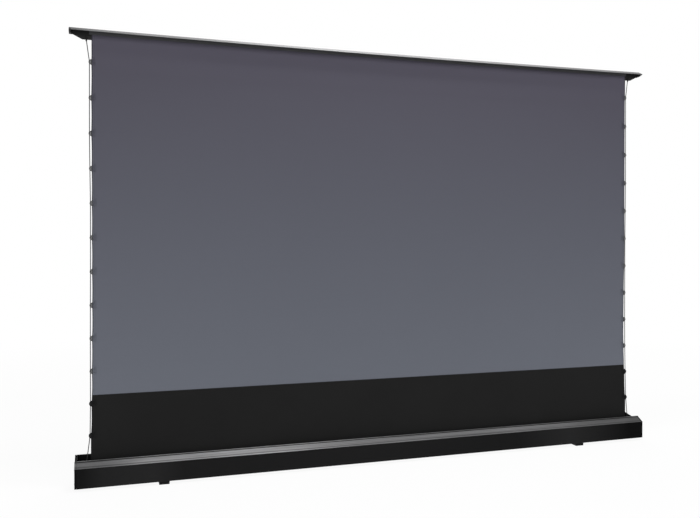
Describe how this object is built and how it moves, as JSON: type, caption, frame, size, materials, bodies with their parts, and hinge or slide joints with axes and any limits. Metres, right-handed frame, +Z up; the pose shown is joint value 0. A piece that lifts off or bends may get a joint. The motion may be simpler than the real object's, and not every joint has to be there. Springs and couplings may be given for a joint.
{
  "type": "motorized projection screen",
  "caption": "Floor-rising projection screen: a slim case whose motor roller lets out a grey side-tensioned fabric under a top bar that folding arms lift.",
  "frame": {"origin": "centre of the footprint of the feet, on the floor", "axes": "+X to the viewer's right along the case, +Y to the rear, +Z up; the fabric faces -Y"},
  "size_m": [2.36, 0.184, 1.6088],
  "materials": {
    "black_shell": "satin",
    "brushed_silver": "satin",
    "black_plastic": "matte",
    "grey_fabric": "matte",
    "black_fabric": "matte",
    "cord_polyester": "matte",
    "zinc_steel": "satin",
    "arm_aluminium": "satin",
    "bare_aluminium": "satin",
    "motor_white": "satin",
    "board_green": "satin",
    "sole_rubber": "matte"
  },
  "bodies": {
    "case": {"front_panel": "black_shell", "slope_trim": "brushed_silver", "base_plate": "black_shell", "rear_cover": "black_shell", "left_end_cap": "black_plastic", "right_end_cap": "black_plastic", "left_foot_rivet": "zinc_steel", "right_foot_rivet": "zinc_steel", "left_base_bracket": "zinc_steel", "right_base_bracket": "zinc_steel", "left_base_pin": "zinc_steel", "right_base_pin": "zinc_steel", "motor_bracket": "zinc_steel", "idler_bracket": "zinc_steel", "idler_pin": "zinc_steel", "tubular_motor": "motor_white", "motor_lead": "black_plastic", "control_board": "board_green", "connector_plate": "black_plastic", "mains_inlet": "black_plastic", "switch_frame": "black_plastic", "trigger_jack": "zinc_steel", "picture_fabric": "grey_fabric", "black_drop": "black_fabric", "left_tab_strip": "black_fabric", "right_tab_strip": "black_fabric", "left_tension_cord": "cord_polyester", "right_tension_cord": "cord_polyester"},
    "roller": {"roller_tube": "bare_aluminium", "fabric_wraps": "black_fabric", "left_cord_spool": "black_plastic", "right_cord_spool": "black_plastic", "idler_plug": "black_plastic", "drive_wheel": "black_plastic"},
    "left_lower_arm": {"left_lower_arm": "arm_aluminium", "left_gas_spring": "zinc_steel"},
    "left_upper_arm": {"left_upper_arm": "arm_aluminium", "left_knee_pin": "zinc_steel"},
    "right_lower_arm": {"right_lower_arm": "arm_aluminium", "right_gas_spring": "zinc_steel"},
    "right_upper_arm": {"right_upper_arm": "arm_aluminium", "right_knee_pin": "zinc_steel"},
    "top_bar": {"lid_plate": "black_shell", "lid_front_trim": "brushed_silver", "hanger_rail": "black_shell", "clamp_strip": "black_shell", "left_lid_cap": "black_plastic", "right_lid_cap": "black_plastic", "left_top_bracket": "zinc_steel", "right_top_bracket": "zinc_steel", "left_top_pin": "zinc_steel", "right_top_pin": "zinc_steel"},
    "left_foot": {"left_foot": "black_shell", "left_foot_sole": "sole_rubber"},
    "right_foot": {"right_foot": "black_shell", "right_foot_sole": "sole_rubber"},
    "power_rocker": {"power_rocker": "black_plastic"},
    "manual_button": {"manual_button": "black_plastic"}
  },
  "joints": [
    {"name": "lift", "type": "hinge", "parent": "case", "child": "left_lower_arm", "pos_m": [-0.85969, -0.002, 0.034], "axis": [0, 1, 0], "range_deg": [0, 74.5], "deforming": ["picture_fabric", "black_drop", "left_tab_strip", "right_tab_strip", "left_tension_cord", "right_tension_cord"]},
    {"name": "left_elbow", "type": "hinge", "parent": "left_lower_arm", "child": "left_upper_arm", "pos_m": [-0.66865, -0.002, 0.8002], "axis": [0, 1, 0], "range_deg": [-149, 0]},
    {"name": "bar_level", "type": "hinge", "parent": "left_upper_arm", "child": "top_bar", "pos_m": [-0.85969, -0.019, 1.5664], "axis": [0, 1, 0], "range_deg": [0, 74.5]},
    {"name": "right_shoulder", "type": "hinge", "parent": "case", "child": "right_lower_arm", "pos_m": [0.85969, -0.002, 0.034], "axis": [0, 1, 0], "range_deg": [-74.5, 0]},
    {"name": "right_elbow", "type": "hinge", "parent": "right_lower_arm", "child": "right_upper_arm", "pos_m": [0.66865, -0.002, 0.8002], "axis": [0, 1, 0], "range_deg": [0, 149]},
    {"name": "roller_spin", "type": "hinge", "parent": "case", "child": "roller", "pos_m": [0, -0.0603, 0.042], "axis": [1, 0, 0], "range_deg": [-3651, 0]},
    {"name": "left_foot_swivel", "type": "hinge", "parent": "case", "child": "left_foot", "pos_m": [-0.86519, -0.0285, 0.006], "axis": [0, 0, -1], "range_deg": [0, 90]},
    {"name": "right_foot_swivel", "type": "hinge", "parent": "case", "child": "right_foot", "pos_m": [0.85419, -0.0285, 0.006], "axis": [0, 0, 1], "range_deg": [0, 90]},
    {"name": "power_switch", "type": "hinge", "parent": "case", "child": "power_rocker", "pos_m": [1.104, 0.0361, 0.053], "axis": [1, 0, 0], "range_deg": [0, 14]},
    {"name": "manual_press", "type": "slide", "parent": "case", "child": "manual_button", "axis": [0, -1, 0], "range_m": [0, 0.0015], "stiffness_N_per_m": 300}
  ],
  "couplings": [
    {"joint": "left_elbow", "follows": "lift", "ratio": -2},
    {"joint": "bar_level", "follows": "lift", "ratio": 1},
    {"joint": "right_shoulder", "follows": "lift", "ratio": -1},
    {"joint": "right_elbow", "follows": "lift", "ratio": 2},
    {"joint": "roller_spin", "follows": "lift", "ratio": -49}
  ]
}
